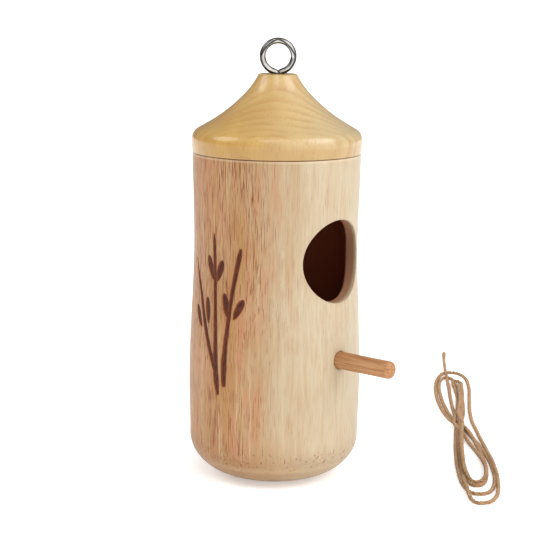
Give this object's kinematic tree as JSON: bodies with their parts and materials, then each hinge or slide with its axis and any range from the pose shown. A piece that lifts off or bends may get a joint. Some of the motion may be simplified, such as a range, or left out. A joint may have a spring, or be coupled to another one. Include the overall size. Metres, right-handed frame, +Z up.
{
  "type": "birdhouse",
  "caption": "Turned wooden birdhouse with a waisted hollow body, round side entrance, perch, flared plug lid with a screw eye, and a hank of hanging cord.",
  "frame": {"origin": "middle of the flat base, on the turning axis", "axes": "+Z up along the turning axis; the entrance and the perch face -Y; the burned sprig is on the -X side"},
  "size_m": [0.2347, 0.1523, 0.1617],
  "materials": {
    "body_wood": "pale straight-grained hardwood, clear satin finish, burned sprig in dark brown",
    "perch_wood": "reddish-brown dowel, bare",
    "lid_wood": "golden-yellow lacquered softwood, satin",
    "steel": "bright nickel plate",
    "twine": "twisted jute twine, undyed"
  },
  "bodies": {
    "house": {"house_body": "body_wood", "perch": "perch_wood"},
    "lid": {"lid": "lid_wood", "screw_eye": "steel"},
    "cord": {"cord_hank": "twine", "cord_tail": "twine"}
  },
  "joints": [
    {"name": "lid_lift", "type": "slide", "parent": "house", "child": "lid", "axis": [0, 0, 1], "range_m": [0, 0.06]},
    {"name": "cord_lift", "type": "slide", "parent": "house", "child": "cord", "axis": [0, 0, 1], "range_m": [0, 0.06]}
  ]
}
